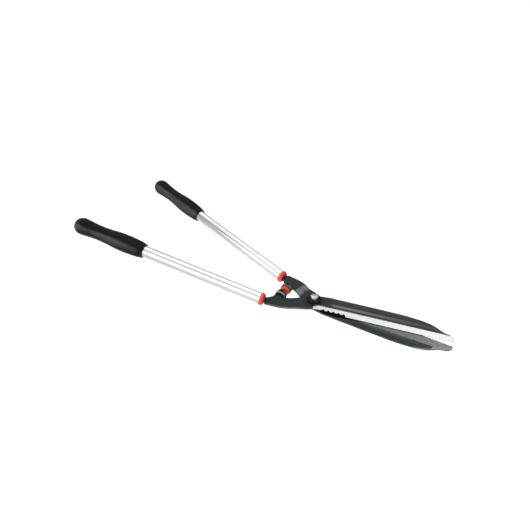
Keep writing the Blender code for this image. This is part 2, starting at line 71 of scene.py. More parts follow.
class Nodes:
    """A node tree being put together."""

    def __init__(self, tree):
        self.tree = tree

    def add(self, kind, **settings):
        node = self.tree.nodes.new(kind)
        for name, value in settings.items():
            setattr(node, name, value)
        return node

    def join(self, source, target):
        self.tree.links.new(source, target)

    def math(self, operation, *values):
        node = self.add("ShaderNodeMath", operation=operation)
        for value, socket in zip(values, node.inputs):
            if isinstance(value, (int, float)):
                socket.default_value = value
            else:
                self.join(value, socket)
        return node.outputs["Value"]

    def times(self, first, *others):
        """The product of them all."""
        for other in others:
            first = self.math("MULTIPLY", first, other)
        return first

    def split(self, vector):
        """A vector's "X", "Y" and "Z"."""
        parts = self.add("ShaderNodeSeparateXYZ")
        self.join(vector, parts.inputs["Vector"])
        return parts.outputs

    def reach(self, vector, way):
        """How far a vector goes in one direction."""
        product = self.add("ShaderNodeVectorMath", operation="DOT_PRODUCT")
        self.join(vector, product.inputs[0])
        product.inputs[1].default_value = way
        return product.outputs["Value"]

    def fit(self, value, low, high, to_low=0.0, to_high=1.0):
        """The value moved from one range to another, smoothly, and held at its ends."""
        node = self.add("ShaderNodeMapRange", interpolation_type="SMOOTHSTEP")
        for socket, number in zip(("From Min", "From Max", "To Min", "To Max"), (low, high, to_low, to_high)):
            node.inputs[socket].default_value = number
        self.join(value, node.inputs["Value"])
        return node.outputs["Result"]

    def where(self, *limits):
        """The product of several fits, each given as fit's own arguments."""
        return self.times(*(self.fit(*limit) for limit in limits))


class Finish(Nodes):
    """A material being put together from a Principled shader, noise and masks that are fixed to the piece.

    space is where a point is on the piece, and facing is which way its surface turns there.
    """

    def __init__(self, name, roughness, metallic=0.0, specular=0.5):
        self.material = bpy.data.materials.new(name)
        self.material.use_nodes = True
        super().__init__(self.material.node_tree)
        self.shader = self.tree.nodes["Principled BSDF"]
        self.shader.inputs["Roughness"].default_value = roughness
        self.shader.inputs["Metallic"].default_value = metallic
        self.shader.inputs["Specular IOR Level"].default_value = specular
        place = self.add("ShaderNodeTexCoord")
        self.space, self.facing = place.outputs["Object"], place.outputs["Normal"]
        self.height = None

    def grain(self, scale, detail=4.0, stretch=(1, 1, 1), roughness=0.55):
        """Noise with that many bumps to the metre, fewer along an axis whose stretch is small."""
        mapping = self.add("ShaderNodeMapping")
        mapping.inputs["Scale"].default_value = stretch
        self.join(self.space, mapping.inputs["Vector"])
        noise = self.add("ShaderNodeTexNoise")
        noise.inputs["Scale"].default_value = scale
        noise.inputs["Detail"].default_value = detail
        noise.inputs["Roughness"].default_value = roughness
        self.join(mapping.outputs["Vector"], noise.inputs["Vector"])
        return noise.outputs["Fac"]

    def colour(self, value, *stops):
        """The tone for a value, between two stops, each (value, tone)."""
        ramp = self.add("ShaderNodeValToRGB")
        for point, (place, tone) in zip(ramp.color_ramp.elements, stops):
            point.position = place
            point.color = (*tone, 1.0)
        self.join(value, ramp.inputs["Fac"])
        return ramp.outputs["Color"]

    def mix(self, share, base, tone):
        """The base with a share of the tone over it."""
        node = self.add("ShaderNodeMix", data_type="RGBA")
        self.join(base, node.inputs["A"])
        node.inputs["B"].default_value = (*tone, 1.0)
        self.join(share, node.inputs["Factor"])
        return node.outputs["Result"]

    def paint(self, colour):
        self.join(colour, self.shader.inputs["Base Color"])

    def vary_roughness(self, value, low, high):
        self.join(self.fit(value, 0.3, 0.7, low, high), self.shader.inputs["Roughness"])

    def raise_by(self, value, depth, strength):
        """Adds relief of that depth in metres, over any relief already there."""
        bump = self.add("ShaderNodeBump")
        bump.inputs["Strength"].default_value = strength
        bump.inputs["Distance"].default_value = depth
        self.join(value, bump.inputs["Height"])
        if self.height:
            self.join(self.height, bump.inputs["Normal"])
        self.height = bump.outputs["Normal"]
        self.join(self.height, self.shader.inputs["Normal"])


# Tones, each as linear red, green and blue.
PAINTED_GAP_SHADE = (0.0012, 0.0013, 0.0014)
COAT_DARK, COAT_LIGHT = (0.011, 0.016, 0.018), (0.018, 0.024, 0.027)
COAT_ROLLED = (0.034, 0.041, 0.045)
COAT_FOLD_HIGHLIGHT, COAT_CREST_HIGHLIGHT, COAT_LAND_HIGHLIGHT = (0.125, 0.135, 0.138), (0.105, 0.115, 0.120), (0.075, 0.083, 0.087)
STEEL_DULL, STEEL_BRIGHT = (0.42, 0.43, 0.42), (0.60, 0.605, 0.59)
ZINC_DULL, ZINC_BRIGHT = (0.86, 0.86, 0.87), (0.96, 0.96, 0.95)
BRONZE_DARK, BRONZE_LIGHT = (0.40, 0.25, 0.11), (0.62, 0.41, 0.19)
GRIP_DARK, GRIP_LIGHT, GRIP_HIGHLIGHT = (0.0016, 0.0016, 0.0022), (0.0036, 0.0036, 0.0046), (0.036, 0.036, 0.041)
TUBE_DULL, TUBE_BRIGHT = (0.83, 0.835, 0.84), (0.955, 0.955, 0.95)

# Painted shade for the gap under the upper blade's edge, on the lower blade, by X: where it sets in, and its
# width in metres, which also varies by a noise. It fades out as a share of that width, and with depth from
# the face.
GAP_SHADE_FROM = (0.008, 0.022)
GAP_SHADE_WIDTH = (0.050, 0.110, 0.0052, 0.0006)
GAP_SHADE_WOBBLE = 0.0022
GAP_SHADE_FADE = (0.75, 1.25, 0.92, 0.0)
GAP_SHADE_DEPTHS = (0.0006, 0.0002)

# Where the lower blade's coat gets a painted highlight: across from the land's back line, and along X at
# either end.
LAND_HIGHLIGHT_ACROSS = (0.0, 0.010, 0.75, 0.0)
LAND_HIGHLIGHT_FROM, LAND_HIGHLIGHT_TO = (0.085, 0.130), (0.170, 0.215, 1.0, 0.35)

# Where the coat gets a painted highlight, by the way its face turns: along a tang's fold by X, and on the
# slope up to the crest behind the blade's hollow by Y, which fades out along the blade.
FOLD_HIGHLIGHT_TURN = ((0.10, 0.16), (0.40, 0.50, 1.0, 0.0))
CREST_HIGHLIGHT_TURN = ((-0.24, -0.10, 1.0, 0.0), (-0.60, -0.45))
CREST_HIGHLIGHT_ALONG = (0.090, 0.210, 1.0, 0.15)

# Where the grips get a painted highlight: faces turned this way, within these limits.
GRIP_HIGHLIGHT_WAY = (0.0, -0.93, 0.37)
GRIP_HIGHLIGHT_TURN = (0.86, 0.98)


def with_gap_shade(made, base):
    """Painted shade on the inner face for the gap under the other blade's edge, widest near the pivot, along
    the line of that edge, with less specular there.
    """
    at = made.split(made.space)
    edge = made.math("ADD", made.math("MULTIPLY", at["X"], -TRACK_SLOPE), TRACK_OFFSET)
    past = made.math("MULTIPLY", made.math("ADD", at["Y"], edge), -1.0)
    smear = made.math("MULTIPLY", made.grain(160, detail=4, stretch=(0.3, 1, 1)), GAP_SHADE_WOBBLE)
    width = made.math("ADD", made.fit(at["X"], *GAP_SHADE_WIDTH), smear)
    deep, shallow = GAP_SHADE_DEPTHS
    share = made.where(
        (made.math("DIVIDE", past, width), *GAP_SHADE_FADE),
        (at["Z"], LOWER_TOP - deep, LOWER_TOP - shallow),
        (at["X"], *GAP_SHADE_FROM),
    )
    specular = made.shader.inputs["Specular IOR Level"]
    made.join(made.math("MULTIPLY", made.math("SUBTRACT", 1.0, share), specular.default_value), specular)
    return made.mix(share, base, PAINTED_GAP_SHADE)


def highlight_beside_land(made, base, square, line):
    """Painted highlight on the coat beside the ground land, on the front half of the blade."""
    along = made.split(made.space)["X"]
    past = made.math("SUBTRACT", made.reach(made.space, square), line)
    share = made.where((past, *LAND_HIGHLIGHT_ACROSS), (along, *LAND_HIGHLIGHT_FROM), (along, *LAND_HIGHLIGHT_TO))
    return made.mix(share, base, COAT_LAND_HIGHLIGHT)


def coated_steel(name, paint_gap_shade=False, land=None):
    """Dark grey baked coating: fine orange peel, faint rolling marks, cloudy tone and painted highlight
    bands.

    One flag adds painted shade in the gap under the other blade's edge, and land is where the ground land
    ends, for a painted highlight on the coat beside it.
    """
    made = Finish(name, 0.4, specular=0.34)
    cloud = made.grain(38, detail=5)
    marks = made.grain(900, detail=3, stretch=(0.05, 1, 1))
    tone = made.colour(cloud, (0.30, COAT_DARK), (0.72, COAT_LIGHT))
    tone = made.mix(made.fit(marks, 0.35, 0.9, 0.0, 0.5), tone, COAT_ROLLED)
    turned = made.split(made.facing)
    # Painted highlight along a tang's fold.
    fold_highlight = made.where(*((turned["X"], *limit) for limit in FOLD_HIGHLIGHT_TURN), (cloud, 0.30, 0.60, 0.55, 1.0))
    tone = made.mix(fold_highlight, tone, COAT_FOLD_HIGHLIGHT)
    # Painted highlight on the slope up to the crest behind the blade's hollow.
    crest_highlight = made.where(
        *((turned["Y"], *limit) for limit in CREST_HIGHLIGHT_TURN),
        (cloud, 0.30, 0.60, 0.60, 1.0),
        (made.split(made.space)["X"], *CREST_HIGHLIGHT_ALONG),
    )
    tone = made.mix(crest_highlight, tone, COAT_CREST_HIGHLIGHT)
    # Painted highlight on the coat beside the ground land.
    if land:
        tone = highlight_beside_land(made, tone, *land)
    # Painted shade in the gap under the other blade's edge, when asked for.
    made.paint(with_gap_shade(made, tone) if paint_gap_shade else tone)
    made.vary_roughness(made.grain(420), 0.34, 0.46)
    made.raise_by(made.grain(1500, detail=2), 0.00006, 0.5)
    made.raise_by(marks, 0.00003, 0.4)
    return made.material


def ground_steel(name, painted_brightness, paint_gap_shade=False):
    """Bare ground steel with the wheel's fine marks across the blade, its tone scaled by a painted brightness
    for the light on that blade.
    """
    made = Finish(name, 0.3, metallic=1.0)
    marks = made.grain(2600, detail=4, stretch=(1, 0.035, 0.035), roughness=0.7)
    cloud = made.grain(70, detail=4)
    dull, bright = (tuple(part * painted_brightness for part in tone) for tone in (STEEL_DULL, STEEL_BRIGHT))
    streaks = made.colour(marks, (0.25, dull), (0.75, bright))
    streaks = made.mix(made.fit(cloud, 0.45, 0.8, 0.0, 0.35), streaks, dull)
    # Painted shade in the gap under the other blade's edge, when asked for.
    made.paint(with_gap_shade(made, streaks) if paint_gap_shade else streaks)
    made.vary_roughness(marks, 0.24, 0.36)
    made.raise_by(marks, 0.00004, 0.5)
    return made.material


def plated_steel():
    """Zinc plating, a little cloudy, with fine pits."""
    made = Finish("plated_steel", 0.36, metallic=1.0)
    cloud = made.grain(240, detail=5)
    made.paint(made.colour(cloud, (0.3, ZINC_DULL), (0.7, ZINC_BRIGHT)))
    made.vary_roughness(cloud, 0.30, 0.46)
    made.raise_by(made.grain(2400, detail=2), 0.00004, 0.4)
    return made.material


def bronze():
    """Sintered bronze, speckled and slightly rough."""
    made = Finish("sintered_bronze", 0.42, metallic=1.0)
    speckle = made.grain(1800, detail=3)
    made.paint(made.colour(speckle, (0.3, BRONZE_DARK), (0.7, BRONZE_LIGHT)))
    made.raise_by(speckle, 0.00005, 0.6)
    return made.material


# The plastics and rubbers: dark and light tones, roughness, specular level, depth of grain and any painted
# light.
# Painted light is a tone and limits on the way a face turns, each an axis, the value with none and the value
# with all.
PLASTICS = {
    "black_moulding": ((0.0012, 0.0012, 0.0016), (0.0030, 0.0030, 0.0036), 0.46, 0.16, 0.00006),
    # Painted highlight on the cup's back rim, on faces turned partly towards -Y and upwards.
    "black_holder": (
        (0.0020, 0.0022, 0.0026), (0.0040, 0.0044, 0.0050), 0.20, 0.50, 0.00002,
        ((0.22, 0.26, 0.27), ("Y", -0.25, -0.50), ("Y", -0.95, -0.80), ("Z", 0.15, 0.45)),
    ),
    # Painted shade on the collar's faces turned towards +X, by the tang.
    "orange_moulding": (
        (0.66, 0.060, 0.030), (0.76, 0.080, 0.042), 0.38, 0.40, 0.00005,
        ((0.30, 0.020, 0.010), ("X", 0.35, 0.85)),
    ),
    # Painted shade on the orange buffer's side, on all but the faces turned towards -Y.
    "orange_rubber": (
        (0.68, 0.050, 0.018), (0.78, 0.072, 0.026), 0.52, 0.35, 0.00008,
        ((0.16, 0.010, 0.006), ("Y", -0.85, -0.35)),
    ),
    "black_rubber": ((0.0045, 0.0045, 0.0050), (0.0100, 0.0100, 0.0108), 0.50, 0.40, 0.00008),
}


def plastic(name):
    """Moulded plastic or rubber: slight tone changes, a fine grain, and any painted highlight or shade on
    faces turned one way.
    """
    dark, light, roughness, specular, grain_depth, *painted_light = PLASTICS[name]
    made = Finish(name, roughness, specular=specular)
    cloud = made.grain(90, detail=5)
    tone = made.colour(cloud, (0.32, dark), (0.70, light))
    # Each entry paints a highlight or shade onto the faces turned one way.
    for painted_tone, *limits in painted_light:
        turned = made.split(made.facing)
        turns = ((turned[axis], none, all_over) for axis, none, all_over in limits)
        tone = made.mix(made.where((cloud, 0.25, 0.5, 0.75, 1.0), *turns), tone, painted_tone)
    made.paint(tone)
    made.vary_roughness(made.grain(650), roughness - 0.05, roughness + 0.07)
    made.raise_by(made.grain(2100, detail=2), grain_depth, 0.6)
    return made.material


def grip_plastic():
    """Satin black grip: leather-like grain, with a painted highlight along one side."""
    made = Finish("satin_grip", 0.40, specular=0.12)
    grain = made.grain(1250, detail=2, roughness=0.4)
    smear = made.grain(46, detail=5, stretch=(1, 1, 0.3))
    tone = made.colour(smear, (0.3, GRIP_DARK), (0.72, GRIP_LIGHT))
    # Painted highlight on faces turned towards the front and a little upwards.
    highlight_share = made.where((made.reach(made.facing, GRIP_HIGHLIGHT_WAY), *GRIP_HIGHLIGHT_TURN), (smear, 0.30, 0.55, 0.6, 1.0))
    made.paint(made.mix(highlight_share, tone, GRIP_HIGHLIGHT))
    made.vary_roughness(smear, 0.32, 0.44)
    made.raise_by(grain, 0.00010, 0.5)
    return made.material


def drawn_aluminium(name, reflection_bands):
    """Satin tube with lengthwise drawing lines and painted reflection bands along it."""
    made = Finish(name, 0.28, metallic=0.70)
    lines = made.grain(1000, detail=5, stretch=(1, 1, 0.012), roughness=0.65)
    fine = made.grain(3200, detail=2, stretch=(1, 1, 0.02))
    base = made.colour(lines, (0.28, TUBE_DULL), (0.66, TUBE_BRIGHT))
    at = made.split(made.space)
    streaky = made.fit(lines, 0.25, 0.65, 0.6, 1.0)
    around = made.math("ARCTAN2", at["Y"], at["X"])
    # Each band is a painted reflection.
    for angle, half_width, front_share, tone in reflection_bands:
        away = made.math("ABSOLUTE", made.math("SUBTRACT", around, math.radians(angle)))
        half_width = math.radians(half_width)
        reflection_band = made.fit(away, half_width * 0.35, half_width, 1.0, 0.0)
        along = made.fit(at["Z"], 0.02, TUBE_LENGTH * 0.62, front_share, 1.0)
        base = made.mix(made.times(reflection_band, streaky, along), base, tone)
    made.paint(base)
    made.vary_roughness(lines, 0.22, 0.34)
    made.raise_by(fine, 0.00002, 0.35)
    made.raise_by(lines, 0.00003, 0.35)
    return made.material


# ---------------------------------------------------------------------------------------------
# Mesh tools
# ---------------------------------------------------------------------------------------------

CUT_BEVEL = 0.00025


def placed(name, mesh, finish, body, replaces, matrix=None, keep_frame=False):
    """A finished piece: its material, its place, the body it rides on and what it stands for.

    With no finish it keeps the materials of its mesh. The mesh itself is turned by the matrix, which keeps
    the piece's box tight, unless its finish needs the piece's own axes.
    """
    piece = bpy.data.objects.new(name, mesh)
    bpy.context.scene.collection.objects.link(piece)
    if keep_frame:
        piece.matrix_world = matrix
    elif matrix:
        mesh.transform(matrix)
    if finish:
        mesh.materials.clear()
        mesh.materials.append(finish)
    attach(piece, body)
    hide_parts(*replaces)
    return piece


def smooth(mesh, angle=30):
    """Smooth shading, kept crisp at corners and where one material meets another."""
    mesh.shade_smooth()
    mesh.set_sharp_from_angle(angle=math.radians(angle))
    shape = bmesh.new()
    shape.from_mesh(mesh)
    for edge in shape.edges:
        if len({face.material_index for face in edge.link_faces}) > 1:
            edge.smooth = False
    shape.to_mesh(mesh)
    shape.free()
    return mesh


def rounded(profile, size, cuts=3, closed=False):
    """The same outline with each corner turned into a small curve."""
    made = []
    for i, point in enumerate(profile):
        here = Vector(point)
        if not closed and i in (0, len(profile) - 1):
            made.append(tuple(here))
            continue
        back = Vector(profile[i - 1]) - here
        on = Vector(profile[(i + 1) % len(profile)]) - here
        if back.angle(on) > math.radians(165):
            made.append(tuple(here))
            continue
        reach = min(size, back.length * 0.45, on.length * 0.45)
        start = here + back.normalized() * reach
        end = here + on.normalized() * reach
        for k in range(cuts + 1):
            t = k / cuts
            made.append(tuple(start * (1 - t) ** 2 + here * 2 * t * (1 - t) + end * t * t))
    return made


def eased(points, per_span):
    """A smooth curve through the points, as a Catmull-Rom spline."""
    made = []
    padded = [points[0], *points, points[-1]]
    for a, b, c, d in zip(padded, padded[1:], padded[2:], padded[3:]):
        a, b, c, d = Vector(a), Vector(b), Vector(c), Vector(d)
        square, cube = a * 2 - b * 5 + c * 4 - d, b * 3 - a - c * 3 + d
        for k in range(per_span):
            t = k / per_span
            made.append(tuple((b * 2 + (c - a) * t + square * t**2 + cube * t**3) / 2))
    made.append(tuple(points[-1]))
    return made


def join_rows(shape, first, second):
    """Faces between two rings of points, either of which may be one point."""
    count = max(len(first), len(second))
    for i in range(count):
        j = (i + 1) % count
        if len(first) == 1:
            shape.faces.new((first[0], second[j], second[i]))
        elif len(second) == 1:
            shape.faces.new((first[i], first[j], second[0]))
        else:
            shape.faces.new((first[i], first[j], second[j], second[i]))


def spun(name, profile, steps=96, closed=False, vary=None):
    """A turned mesh from (radius, height) points. vary(radius, angle, height) may change a radius."""
    shape = bmesh.new()
    rows = []
    for radius, height in profile:
        row = []
        for i in range(1 if radius < 1e-6 else steps):
            angle = 2 * math.pi * i / steps
            reach = vary(radius, angle, height) if vary else radius
            row.append(shape.verts.new((reach * math.cos(angle), reach * math.sin(angle), height)))
        rows.append(row)
    for first, second in zip(rows, rows[1:]):
        join_rows(shape, first, second)
    if closed:
        join_rows(shape, rows[-1], rows[0])
    bmesh.ops.recalc_face_normals(shape, faces=shape.faces)
    mesh = bpy.data.meshes.new(name)
    shape.to_mesh(mesh)
    shape.free()
    return smooth(mesh)


def stepped(radius, low, high, steps):
    """Points up a wall, for a radius that varies on the way."""
    return [(radius, low + (high - low) * i / steps) for i in range(steps + 1)]


def box_shape(low, high):
    """A box to cut with."""
    mesh = bpy.data.meshes.new("cutter")
    shape = bmesh.new()
    bmesh.ops.create_cube(shape, size=1.0)
    low, high = Vector(low), Vector(high)
    bmesh.ops.scale(shape, vec=high - low, verts=shape.verts)
    bmesh.ops.translate(shape, vec=(low + high) / 2, verts=shape.verts)
    shape.to_mesh(mesh)
    shape.free()
    return mesh


def modified(mesh, **modifiers):
    """The mesh after some modifiers, each a kind and its settings, as a new mesh."""
    body = bpy.data.objects.new("modified", mesh)
    bpy.context.scene.collection.objects.link(body)
    for kind, settings in modifiers.items():
        step = body.modifiers.new(kind, kind)
        for name, value in settings.items():
            setattr(step, name, value)
    graph = bpy.context.evaluated_depsgraph_get()
    made = bpy.data.meshes.new_from_object(body.evaluated_get(graph))
    bpy.data.objects.remove(body)
    return made


def edge_bevel(width, angle, **settings):
    """A bevel on the corners sharper than an angle."""
    return dict(width=width, segments=2, use_clamp_overlap=False, angle_limit=math.radians(angle), **settings)


def weighed(mesh):
    """The mesh with its large faces shaded flat, as a new mesh."""
    return modified(mesh, WEIGHTED_NORMAL=dict(keep_sharp=True, weight=80))


def cut_with(mesh, cutter):
    """The mesh less the cutter, with a small bevel on the sharp corners, as a new mesh."""
    tool = bpy.data.objects.new("tool", cutter)
    bpy.context.scene.collection.objects.link(tool)
    made = modified(mesh, BOOLEAN=dict(object=tool, solver="EXACT"), BEVEL=edge_bevel(CUT_BEVEL, 50))
    bpy.data.objects.remove(tool)
    return weighed(smooth(made))


# ---------------------------------------------------------------------------------------------
# What the CAD says
# ---------------------------------------------------------------------------------------------


def points_of(node):
    """The points of a CAD node's mesh."""
    return np.array([vertex.co for vertex in NODES[node].data.vertices])


def handle_line(arm):
    """The tube's own frame: its front end, with +Z back along it and +X upwards."""
    points = points_of(arm + "_tube")
    middle = points.mean(axis=0)
    axis = np.linalg.eigh(np.cov((points - middle).T))[1][:, -1]
    axis = Vector(axis if axis[0] < 0 else -axis).normalized()
    up = (Vector((0, 0, 1)) - axis * axis.z).normalized()
    side = axis.cross(up)
    start = Vector(middle) + axis * float(((points - middle) @ np.array(axis)).min())
    return Matrix.Translation(start) @ Matrix((up, side, axis)).transposed().to_4x4()


def rings_of(node, line):
    """(radius, distance) of each ring of a turned node along a line, its widest point there."""
    inverse = line.inverted()
    found = {}
    for vertex in NODES[node].data.vertices:
        point = inverse @ vertex.co
        place = round(point.z, 5)
        found[place] = max(found.get(place, 0.0), math.hypot(point.x, point.y))
    return [(radius, place) for place, radius in sorted(found.items())]


LINES = {arm: handle_line(arm) for arm in ARMS}
TUBE_RINGS = rings_of("lower_tube", LINES["lower"])
TUBE_RADIUS = TUBE_RINGS[0][0]
TUBE_LENGTH = TUBE_RINGS[-1][1]
# The lower blade's thickness with the gap above it, and the level of its inner face.
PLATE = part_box("upper_blade")[0].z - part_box("lower_blade")[0].z
LOWER_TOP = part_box("lower_blade")[0].z + PLATE - GAP
# Where the straight edge is measured: within this span ahead of the teeth, and this near the tip.
EDGE_HEEL = (0.068, 0.12)
EDGE_TOE = 0.002


def edge_track():
    """The upper blade's cutting edge as a line: how far out it would be at x = 0, and its slope inwards."""
    points = points_of("upper_blade")
    heel = points[(points[:, 0] > EDGE_HEEL[0]) & (points[:, 0] < EDGE_HEEL[1])]
    heel = heel[heel[:, 1].argmin()]
    toe = points[points[:, 0] > points[:, 0].max() - EDGE_TOE]
    toe = toe[toe[:, 1].argmin()]
    slope = (toe[1] - heel[1]) / (toe[0] - heel[0])
    return slope * heel[0] - heel[1], slope


TRACK_OFFSET, TRACK_SLOPE = (float(number) for number in edge_track())


# ---------------------------------------------------------------------------------------------
# Blades and tangs
# ---------------------------------------------------------------------------------------------

# The outer face behind the ground bevel: distance back from the bevel's top, and height. A shallow
# hollow runs along the bevel, and the face then falls away to the back of the blade.
OUTER_FACE = (
    (0.0000, 0.00000),
    (0.0016, -0.00110),
    (0.0040, -0.00150),
    (0.0066, -0.00090),
    (0.0098, 0.00015),
    (0.0124, 0.00060),
    (0.0160, 0.00045),
    (0.0240, -0.00060),
    (0.0330, -0.00190),
    (0.0450, -0.00360),
)
# The outer face's shaping sets in between these distances along the blade.
FLAT_UNTIL = 0.021
FACE_FULL_FROM = 0.048
FACE_STEPS = 6
# The ground land on the inner face: its width, how fast it widens towards the tip, where that width is
# measured, and the slanted line that ends it at the tip.
INNER_LAND = 0.0215
LAND_SPREAD = 0.072
LAND_FROM_TIP = 0.067
TIP_LAND = 0.0255
TIP_SLANT = 0.25
EDGE_ROUNDING = 0.00030
# How much of the ground bevel's back stays coated.
UNGROUND = 0.0024


def face_height(distance):
    """The outer face's height at a distance back from the bevel's top."""
    for (start, low), (end, high) in zip(OUTER_FACE, OUTER_FACE[1:]):
        if distance <= end:
            return low + (high - low) * max(distance - start, 0) / (end - start)
    return OUTER_FACE[-1][1]


def on_bevel(face, outward, ahead_of=-math.inf):
    """Whether a face slants as the ground bevel does, and is far enough along the blade."""
    return 0.90 < face.normal.z * outward < 0.99 and face.calc_center_median().x > ahead_of


def bevel_of(shape, outward):
    """The ground bevel: the direction back across the blade, and where it starts and ends."""
    slanted = [face for face in shape.faces if on_bevel(face, outward, FACE_FULL_FROM)]
    normal = sum((face.normal * face.calc_area() for face in slanted), Vector())
    across = -Vector((normal.x, normal.y, 0)).normalized()
    reach = [vertex.co.dot(across) for face in slanted for vertex in face.verts]
    return across, min(reach), max(reach)


def land_line(arm):
    """The direction square to the ground land's back line, and that line's distance along it."""
    shape = bmesh.new()
    shape.from_mesh(NODES[arm + "_blade"].data)
    across, edge, _ = bevel_of(shape, 1 if arm == "upper" else -1)
    shape.free()
    point = across * (edge + INNER_LAND)
    point += Vector((1, -across.x / across.y, 0)) * (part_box(arm + "_blade")[1].x - LAND_FROM_TIP - point.x)
    square = (across + Vector((LAND_SPREAD, 0, 0))).normalized()
    return square, point.dot(square)


def slice_at(shape, point, normal, chosen):
    """Cuts the chosen faces along a plane."""
    faces = [face for face in shape.faces if chosen(face)]
    edges = {edge for face in faces for edge in face.edges}
    verts = {vertex for face in faces for vertex in face.verts}
    geometry = [*verts, *edges, *faces]
    bmesh.ops.bisect_plane(shape, geom=geometry, plane_co=point, plane_no=normal, dist=1e-6)


def round_start(shape, across, edge, bevel_top, outward):
    """Cuts the bevel along the half circle it starts with, and returns the circle's tangents.

    Each is (place, the way out of the circle, where along X the circle ends).
    """

    def slanted(face):
        return on_bevel(face, outward, 0)

    along = Vector((across.y, -across.x, 0))
    along = along if along.x > 0 else -along
    first = min(vertex.co.dot(along) for face in shape.faces if slanted(face) for vertex in face.verts)
    radius = (bevel_top - edge) / 2
    middle = along * (first + radius) + across * (edge + radius)
    tangents = []
    for angle in np.linspace(math.pi / 2, math.pi * 3 / 2, 11)[1:-1]:
        way = along * math.cos(angle) + across * math.sin(angle)
        shape.normal_update()
        slice_at(shape, middle + way * radius, way, slanted)
        tangents.append((middle + way * radius, way, middle.x + radius))
    return tangents


def in_round(point, tangents):
    """Whether a point is inside the half circle, or ahead of it along the blade."""
    return all(point.x > near or (point - place).dot(way) < 0 for place, way, near in tangents)


def blade(arm, coat, ground):
    """The arm's steel plate with its hollow outer face, ground bevel, ground inner land and rounded edges."""
    node = arm + "_blade"
    outward = 1 if arm == "upper" else -1
    shape = bmesh.new()
    shape.from_mesh(NODES[node].data)
    bmesh.ops.remove_doubles(shape, verts=shape.verts, dist=1e-6)
    bmesh.ops.dissolve_limit(
        shape, angle_limit=math.radians(0.3), verts=shape.verts, edges=shape.edges, delimit={"NORMAL"}
    )
    across, edge, bevel_top = bevel_of(shape, outward)

    shape.normal_update()

    def in_blade(face):
        return min(vertex.co.x for vertex in face.verts) > FLAT_UNTIL - 1e-5

    for i in range(FACE_STEPS + 1):
        x = FLAT_UNTIL + (FACE_FULL_FROM - FLAT_UNTIL) * i / FACE_STEPS
        slice_at(shape, (x, 0, 0), (1, 0, 0), (lambda face: True) if i == 0 else in_blade)
    for distance, _ in OUTER_FACE[1:]:
        slice_at(shape, across * (bevel_top + distance), across, in_blade)
    land_square, land_end = land_line(arm)
    slice_at(shape, land_square * land_end, land_square, in_blade)
    ground_top = bevel_top - UNGROUND
    slice_at(shape, across * ground_top, across, lambda face: on_bevel(face, outward))
    start = round_start(shape, across, edge, ground_top, outward)
    tip_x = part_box(node)[1].x - TIP_LAND
    slice_at(shape, (tip_x, 0, 0), (1, TIP_SLANT * across.y, 0), in_blade)

    level = max(vertex.co.z * outward for vertex in shape.verts if vertex.co.x > FACE_FULL_FROM)
    for vertex in shape.verts:
        distance = vertex.co.dot(across) - bevel_top
        if vertex.co.x <= FLAT_UNTIL or distance <= 0 or vertex.co.z * outward < level - 1e-5:
            continue
        share = min((vertex.co.x - FLAT_UNTIL) / (FACE_FULL_FROM - FLAT_UNTIL), 1.0)
        vertex.co.z += outward * face_height(distance) * share * share * (3 - 2 * share)

    shape.normal_update()
    for face in shape.faces:
        middle = face.calc_center_median()
        bevel = on_bevel(face, outward, 0) and middle.dot(across) < ground_top and in_round(middle, start)
        inner = face.normal.z * outward < -0.9 and in_blade(face)
        past_tip_line = middle.x + TIP_SLANT * across.y * middle.y > tip_x
        land = inner and (middle.dot(land_square) < land_end or past_tip_line)
        face.material_index = 1 if bevel or land else 0
    bmesh.ops.triangulate(shape, faces=[face for face in shape.faces if len(face.verts) > 4])
    mesh = bpy.data.meshes.new(node + "_steel")
    mesh.materials.append(coat)
    mesh.materials.append(ground)
    shape.to_mesh(mesh)
    shape.free()
    mesh = modified(mesh, BEVEL=edge_bevel(EDGE_ROUNDING, 40, miter_outer="MITER_ARC"))
    mesh = weighed(smooth(mesh, angle=24))
    return placed(node + "_steel", mesh, None, arm + "_arm", (node,))


# ---------------------------------------------------------------------------------------------
# Pivot
# ---------------------------------------------------------------------------------------------

BOLT_RADIUS = 0.0040
THREAD_PITCH = 0.00125
THREAD_DEPTH = 0.00045
TEETH = 24
TOOTH_DEPTH = 0.0009
NUT_TURN = math.radians(15)
# A hexagon's end chamfer: the share of its half width where the cone meets the end, and the cone's slope.
CONE_START = 0.965
CONE_SLOPE = 1.7


def hexagon(flats, turn, low, high=None):
    """How a hexagon bar's radius varies, with its corners chamfered by a cone at each end given."""

    def vary(radius, angle, height):
        if radius < flats * 0.45:
            return radius
        sixth = math.pi / 3
        limit = flats / 2 / math.cos((angle - turn) % sixth - sixth / 2)
        limit = min(limit, flats / 2 * CONE_START + (height - low) * CONE_SLOPE)
        if high is not None:
            limit = min(limit, flats / 2 * CONE_START + (high - height) * CONE_SLOPE)
        return limit * radius / (flats / 2)

    return vary


def across_flats(node):
    """The distance across a hexagon's flats, from its plan area's widest corner."""
    points = points_of(node)
    return float(np.hypot(points[:, 0], points[:, 1]).max()) * math.sqrt(3)


def nut(steel):
    """A chamfered hexagon nut on the bolt's threaded end."""
    low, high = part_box("pivot_nut")
    flats = across_flats("pivot_nut")
    bore = BOLT_RADIUS + 0.0001
    outside = stepped(flats / 2, low.z, low.z + 0.0010, 6) + stepped(flats / 2, high.z - 0.0012, high.z, 8)
    profile = [(bore + 0.0005, low.z), *outside, (bore + 0.0007, high.z), (bore, high.z - 0.0007)]
    profile.append((bore, low.z + 0.0005))
    vary = hexagon(flats, NUT_TURN, low.z, high.z)
    mesh = spun("pivot_nut_plated", profile, steps=144, closed=True, vary=vary)
    return placed("pivot_nut_plated", mesh, steel, "lower_arm", ("pivot_nut",))


